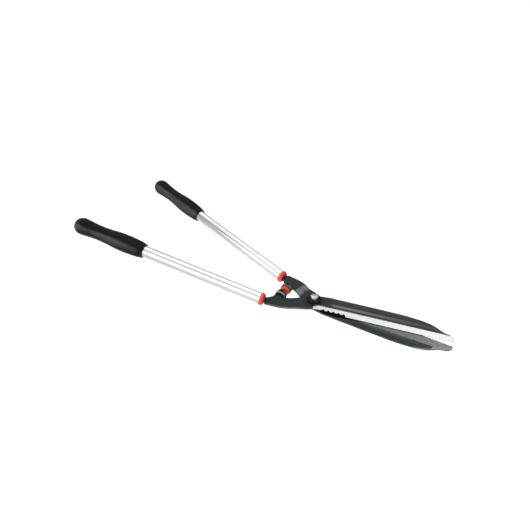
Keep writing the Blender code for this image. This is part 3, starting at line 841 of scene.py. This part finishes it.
def bolt(steel):
    """Hexagon head below, and a threaded end that stands just proud of the nut."""
    low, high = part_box("pivot_bolt")
    flats = across_flats("pivot_bolt")
    head_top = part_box("head_washer")[0].z - GAP
    thread_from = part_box("spring_washer")[0].z
    head = hexagon(flats, 0.0, low.z)
    profile = [(0, low.z + 0.0003), (flats * 0.36, low.z + 0.0003), (flats * 0.38, low.z)]
    profile += stepped(flats / 2, low.z, low.z + 0.0014, 8)
    profile += [(flats / 2, head_top), (BOLT_RADIUS + 0.0003, head_top), (BOLT_RADIUS, head_top + 0.0003)]
    turns = (high.z - thread_from) / THREAD_PITCH
    profile += stepped(BOLT_RADIUS, thread_from, high.z - 0.0005, round(turns * 8))
    profile += [(BOLT_RADIUS - 0.0006, high.z), (0, high.z)]

    def vary(radius, angle, height):
        if height < thread_from or radius < BOLT_RADIUS * 0.99:
            return head(radius, angle, height)
        phase = (height / THREAD_PITCH - angle / (2 * math.pi)) % 1.0
        fade = min((height - thread_from) / THREAD_PITCH, 1.0)
        return radius - THREAD_DEPTH * fade * abs(2 * phase - 1)

    mesh = spun("pivot_bolt_plated", profile, steps=120, vary=vary)
    return placed("pivot_bolt_plated", mesh, steel, "lower_arm", ("pivot_bolt",))


def toothed_ring(black):
    """The adjusting ring: square teeth round its rim, a raised seat and a shallow dished face."""
    low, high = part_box("tension_ring")
    outer = high.x
    bore = BOLT_RADIUS + GAP
    profile = [(bore, low.z), (outer - 0.0006, low.z), (outer, low.z + 0.0006), (outer, high.z - 0.0007)]
    profile += [(outer - 0.0007, high.z), (outer * 0.80, high.z), (outer * 0.76, high.z - 0.0005)]
    profile += [(outer * 0.60, high.z - 0.0005), (outer * 0.56, high.z), (bore, high.z)]

    def vary(radius, angle, height):
        if radius < outer * 0.9:
            return radius
        wave = math.cos(angle * TEETH)
        tooth = 0.5 + 0.5 * max(-1.0, min(1.0, wave * 2.6))
        return radius - TOOTH_DEPTH * (1 - tooth)

    profile = rounded(profile, 0.0003, cuts=2, closed=True)
    mesh = spun("tension_ring_moulded", profile, steps=TEETH * 12, closed=True, vary=vary)
    return placed("tension_ring_moulded", mesh, black, "lower_arm", ("tension_ring",))


def washer(node, steel, dish=0.0):
    """A flat or slightly dished washer with rolled edges."""
    low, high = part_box(node)
    bore = BOLT_RADIUS + GAP
    profile = [(bore, low.z + dish), (high.x, low.z), (high.x, high.z - dish), (bore, high.z)]
    profile = rounded(profile, 0.0003, closed=True)
    mesh = spun(node + "_plated", profile, steps=96, closed=True)
    return placed(node + "_plated", mesh, steel, "lower_arm", (node,))


# ---------------------------------------------------------------------------------------------
# Buffers
# ---------------------------------------------------------------------------------------------

# How near to the cup's middle and to the ear's end the tang's points are taken as the ear's.
EAR_HALF_WIDTH = 0.012
EAR_DEPTH = 0.004
RIVET_DOME = 0.0009


def buffer_line(arm):
    """On the buffer's axis at the middle plane, with +Z out along it."""
    low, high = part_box(arm + "_buffer")
    middle = (low + high) / 2
    place = Matrix.Translation((middle.x, 0, middle.z))
    return place @ Matrix.Rotation(-ARMS[arm] * math.pi / 2, 4, "X")


def rubber_buffer(arm, rubber):
    """A domed head with a moulded ring in its face, over the stud that sits in the holder."""
    node = arm + "_buffer"
    line = buffer_line(arm)
    rings = rings_of(node, line)
    face, back = rings[0][1], rings[-1][1]
    radius = max(ring[0] for ring in rings)
    stud, shoulder = rings[-1][0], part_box(arm + "_buffer_holder")
    shoulder = min(abs(shoulder[0].y), abs(shoulder[1].y)) - GAP
    profile = [
        (0, back),
        (stud, back),
        (stud, shoulder),
        (radius, shoulder),
        (radius, face + 0.0026),
        (radius - 0.0003, face + 0.0015),
        (radius - 0.0012, face + 0.0006),
        (radius - 0.0026, face + 0.0002),
        (radius * 0.58, face + 0.0000),
        (radius * 0.53, face + 0.0004),
        (radius * 0.44, face + 0.0004),
        (radius * 0.39, face + 0.0000),
        (0, face),
    ]
    mesh = spun(node + "_rubber", rounded(profile, 0.0004), steps=96)
    return placed(node + "_rubber", mesh, rubber, arm + "_arm", (node,), line)


def buffer_holder(arm, black):
    """The cup behind the buffer, with a rolled lip, a chamfered back and the slot for the tang's ear."""
    node = arm + "_buffer_holder"
    line = buffer_line(arm)
    low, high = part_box(node)
    front, back = sorted((abs(low.y), abs(high.y)))
    radius = (high.x - low.x) / 2
    pocket = rings_of(arm + "_buffer", line)[-1]
    inner, floor = pocket[0] + GAP, pocket[1] + GAP
    profile = [
        (0, back),
        (radius - 0.0030, back),
        (radius - 0.0012, back - 0.0006),
        (radius, back - 0.0022),
        (radius, front + 0.0022),
        (radius - 0.0004, front + 0.0018),
        (radius - 0.0004, front),
        (inner, front),
        (inner, floor),
        (0, floor),
    ]
    cup = spun(node + "_cup", rounded(profile, 0.0004), steps=96)
    ear_end = floor + 0.0015
    half = PLATE / 2 + 0.0006
    middle_x = (low.x + high.x) / 2
    ear = [
        co.z
        for co in (vertex.co for vertex in NODES[arm + "_blade"].data.vertices)
        if abs(co.x - middle_x) < EAR_HALF_WIDTH and abs(abs(co.y) - ear_end) < EAR_DEPTH
    ]
    level = (min(ear) + max(ear)) / 2
    # The cup's own +Y is world +Z on one arm and -Z on the other.
    offset = -ARMS[arm] * (level - line.translation.z)
    slot_box = box_shape((-0.02, offset - half, ear_end), (0.02, offset + half, 0.03))
    mesh = cut_with(cup, slot_box)
    return placed(node + "_cup", mesh, black, arm + "_arm", (node,), line)


def rivet(arm, steel):
    """A round bar with a low domed head at either end."""
    node = arm + "_buffer_rivet"
    low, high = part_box(node)
    radius, half = (high.x - low.x) / 2, (high.z - low.z) / 2
    seat, head = half - RIVET_DOME, radius * 1.25
    angles = np.linspace(0, math.pi / 2, 7)
    top = [(head * math.sin(a), seat + RIVET_DOME * math.cos(a)) for a in angles] + [(radius, half - 0.0010)]
    profile = top + [(r, -h) for r, h in reversed(top)]
    mesh = spun(node + "_domed", profile, steps=48)
    place = Matrix.Translation((low + high) / 2)
    return placed(node + "_domed", mesh, steel, arm + "_arm", (node,), place)


# ---------------------------------------------------------------------------------------------
# Handles
# ---------------------------------------------------------------------------------------------

SEAM_DEGREES = -41
GROOVE_DEPTH = 0.00015
GROOVE_WIDTH = math.radians(4.5)
TUBE_WALL = 0.0015
LIP_LENGTH = 0.0016
LIP_RISE = 0.0005
NECK_HALF_WIDTH = 0.0075
# Painted reflections along each tube, as darker bands: the angle round it of the band's middle, its half
# width, how much of it shows at the tube's front end, and its tone.
REFLECTION_BANDS = {
    "lower": ((-58, 40, 0.42, (0.10, 0.105, 0.11)), (-98, 34, 0.70, (0.46, 0.465, 0.47))),
    "upper": ((SEAM_DEGREES, 9, 0.85, (0.30, 0.30, 0.305)), (-98, 34, 0.8, (0.42, 0.425, 0.43))),
}


def tube(arm, aluminium):
    """The drawn tube, with chamfered ends and one shallow lengthwise line on its outer upper side."""
    node = arm + "_tube"
    inner = TUBE_RADIUS - TUBE_WALL
    line_angle = -ARMS[arm] * math.radians(SEAM_DEGREES)
    ends = rings_of(node, LINES[arm])
    start, end = ends[0][1], ends[-1][1]
    profile = [(inner, start), (TUBE_RADIUS - 0.0003, start), (TUBE_RADIUS, start + 0.0003)]
    profile += stepped(TUBE_RADIUS, start + 0.004, end - 0.004, 24)
    profile += [(TUBE_RADIUS, end - 0.0003), (TUBE_RADIUS - 0.0003, end), (inner, end)]

    def vary(radius, angle, height):
        if radius < TUBE_RADIUS * 0.95:
            return radius
        away = (angle - line_angle + math.pi) % (2 * math.pi) - math.pi
        return radius - GROOVE_DEPTH * math.exp(-((away / GROOVE_WIDTH) ** 2))

    mesh = spun(node + "_drawn", profile, steps=180, closed=True, vary=vary)
    return placed(node + "_drawn", mesh, aluminium, arm + "_arm", (node,), LINES[arm], True)


def grip(arm, black):
    """The moulded grip: knob, waist, swelling and taper, a thin lip at the mouth and a faint seam."""
    node = arm + "_grip"
    rings = rings_of(node, LINES[arm])
    bore = TUBE_RADIUS + GAP
    outline = [ring for ring in rings if abs(ring[0] - bore) > 0.0004]
    outline.reverse()
    mouth_radius, mouth = outline[-1]
    outside = eased([Vector(ring) for ring in outline[:-1]], per_span=5)
    lip = mouth_radius + LIP_RISE
    taper = outside[-1]
    outside += [
        ((taper[0] + mouth_radius) / 2 + 0.0003, mouth + LIP_LENGTH + 0.0004),
        (mouth_radius + 0.0001, mouth + LIP_LENGTH),
        (lip, mouth + LIP_LENGTH - 0.0004),
        (lip, mouth + 0.0004),
        (lip - 0.0004, mouth),
        (bore + 0.0003, mouth),
        (bore, mouth + 0.0004),
        (bore, TUBE_LENGTH),
        (0, TUBE_LENGTH),
    ]

    def vary(radius, angle, height):
        if radius < bore + 0.001:
            return radius
        seam = math.sin(angle) ** 2
        return radius + 0.00010 * math.exp(-((1 - seam) / 0.0016))

    mesh = spun(node + "_moulded", outside, steps=128, vary=vary)
    return placed(node + "_moulded", mesh, black, arm + "_arm", (node,), LINES[arm])


def collar(arm, orange):
    """The orange ferrule: a flanged back edge, a rounded front and the slot that the tang enters by."""
    node = arm + "_collar"
    rings = rings_of(node, LINES[arm])
    front, back = rings[0][1], rings[-1][1]
    radius = max(ring[0] for ring in rings)
    nose = rings[0][0]
    shoulder = back - 0.0034
    profile = [
        (0, front),
        (nose, front),
        (nose + 0.0007, front + 0.0008),
        (nose + (radius - nose) * 0.62, front + (shoulder - front) * 0.50),
        (radius - 0.0002, shoulder),
        (radius, back - 0.0010),
        (radius - 0.0006, back),
        (0, back),
    ]
    neck = NECK_HALF_WIDTH + 0.0006
    half = PLATE / 2 + 0.0009
    slot_box = box_shape((-half, -neck, front - 0.01), (half, neck, back + 0.01))
    mesh = cut_with(spun(node + "_moulded", rounded(profile, 0.0005), steps=96), slot_box)
    return placed(node + "_moulded", mesh, orange, arm + "_arm", (node,), LINES[arm])


# ---------------------------------------------------------------------------------------------
# Stage
# ---------------------------------------------------------------------------------------------

FLOOR_BELOW = 0.50
FLOOR_RADIUS = 60.0
FLOOR_RINGS = (0, 0.002, 0.006, 0.015, 0.04, 0.10, 0.25, 0.55, 1)
FLOOR_MIDDLE_X = -0.1
PAPER_DARK, PAPER_LIGHT = (0.92, 0.92, 0.92), (0.94, 0.94, 0.94)


def pale_floor():
    """A large plain sheet below the shears, very slightly uneven in tone."""
    mesh = spun("floor", [(FLOOR_RADIUS * share, 0) for share in FLOOR_RINGS], steps=64)
    floor = bpy.data.objects.new("floor", mesh)
    floor.location = (FLOOR_MIDDLE_X, 0.0, CAD_BOX[0].z - FLOOR_BELOW)
    bpy.context.scene.collection.objects.link(floor)
    paper = Finish("pale_paper", 0.9, specular=0.1)
    paper.paint(paper.colour(paper.grain(3, detail=2), (0.3, PAPER_DARK), (0.7, PAPER_LIGHT)))
    mesh.materials.append(paper.material)


# The room's light, and three patches in it: azimuth and elevation, the angles from there at which the patch
# is full and gone, and what it multiplies the light by (the card and the side) or adds to it (the softbox).
ROOM = 1.02
DARK_CARD = (105, 33, 13, 26, 0.07)
DIM_SIDE = (0, 5, 25, 70, 0.85)
BACK_SOFTBOX = (82, 64, 10, 24, 0.85)


def heading(azimuth, elevation):
    """The direction of an azimuth and an elevation in degrees."""
    azimuth, elevation = math.radians(azimuth), math.radians(elevation)
    flat = math.cos(elevation)
    return Vector((flat * math.cos(azimuth), flat * math.sin(azimuth), math.sin(elevation)))


def studio_sky():
    """A soft white room: a dark card behind, a slightly dim side, and a bright softbox high at the back."""
    world = bpy.data.worlds.new("studio")
    bpy.context.scene.world = world
    world.use_nodes = True
    sky = Nodes(world.node_tree)
    place = sky.add("ShaderNodeTexCoord").outputs["Generated"]

    def patch(azimuth, elevation, full, gone, outside, inside):
        toward = sky.reach(place, heading(azimuth, elevation))
        return sky.fit(toward, math.cos(math.radians(gone)), math.cos(math.radians(full)), outside, inside)

    dark = patch(*DARK_CARD[:4], ROOM, ROOM * DARK_CARD[4])
    dim = patch(*DIM_SIDE[:4], 1.0, DIM_SIDE[4])
    bright = patch(*BACK_SOFTBOX[:4], 0.0, BACK_SOFTBOX[4])
    background = world.node_tree.nodes["Background"]
    background.inputs["Color"].default_value = (1, 1, 1, 1)
    sky.join(sky.math("ADD", sky.times(dark, dim), bright), background.inputs["Strength"])


def key_light(azimuth, elevation, spread, power):
    """A broad soft light from one direction, even over the whole floor."""
    light = bpy.data.lights.new("key", "SUN")
    light.energy = power
    light.angle = math.radians(spread)
    lamp = bpy.data.objects.new("key", light)
    lamp.rotation_euler = (-heading(azimuth, elevation)).to_track_quat("-Z", "Y").to_euler()
    bpy.context.scene.collection.objects.link(lamp)


def camera_looking(place, forward, up, lens):
    """The scene's camera, from where it is and which ways it faces."""
    forward = Vector(forward).normalized()
    right = forward.cross(Vector(up)).normalized()
    turn = Matrix((right, right.cross(forward), -forward)).transposed().to_4x4()
    camera = bpy.data.objects.new("camera", bpy.data.cameras.new("camera"))
    camera.data.lens = lens
    camera.data.clip_start = 0.01
    camera.matrix_world = Matrix.Translation(place) @ turn
    bpy.context.scene.collection.objects.link(camera)
    bpy.context.scene.camera = camera


# ---------------------------------------------------------------------------------------------
# Putting it together
# ---------------------------------------------------------------------------------------------


def build():
    """Every piece, and the finish of each CAD node that is kept."""
    plated = plated_steel()
    plastics = {name: plastic(name) for name in PLASTICS}
    satin = grip_plastic()
    # The ground steel is one finish painted lighter on the upper blade and darker on the lower, for the light
    # on each.
    steels = {
        "lower": (
            coated_steel("coated_steel_lower", paint_gap_shade=True, land=land_line("lower")),
            ground_steel("ground_steel_lower", 0.92, paint_gap_shade=True),
        ),
        "upper": (coated_steel("coated_steel_upper"), ground_steel("ground_steel_upper", 1.08)),
    }
    for arm in ARMS:
        blade(arm, *steels[arm])
        tube(arm, drawn_aluminium("aluminium_" + arm, REFLECTION_BANDS[arm]))
        grip(arm, satin)
        collar(arm, plastics["orange_moulding"])
        buffer_holder(arm, plastics["black_holder"])
        rivet(arm, plated)
    rubber_buffer("lower", plastics["orange_rubber"])
    rubber_buffer("upper", plastics["black_rubber"])

    nut(plated)
    bolt(plated)
    toothed_ring(plastics["black_moulding"])
    washer("head_washer", plated)
    washer("spring_washer", plated, dish=0.0002)

    inside = {"pivot_bush": bronze()}
    for arm in ARMS:
        inside[arm + "_insert"] = plastics["black_moulding"]
        inside[arm + "_insert_pin"] = plated
    for node, finish in inside.items():
        NODES[node].data.materials.clear()
        NODES[node].data.materials.append(finish)


build()
pale_floor()
studio_sky()
key_light(azimuth=-112, elevation=22, spread=24, power=1.5)
camera_looking(
    place=(0.2297, -0.6526, 0.5163),
    forward=(-0.3937, 0.7565, -0.5221),
    up=(-0.2493, 0.4588, 0.8528),
    lens=29.06,
)
bpy.context.scene.view_settings.view_transform = "Standard"
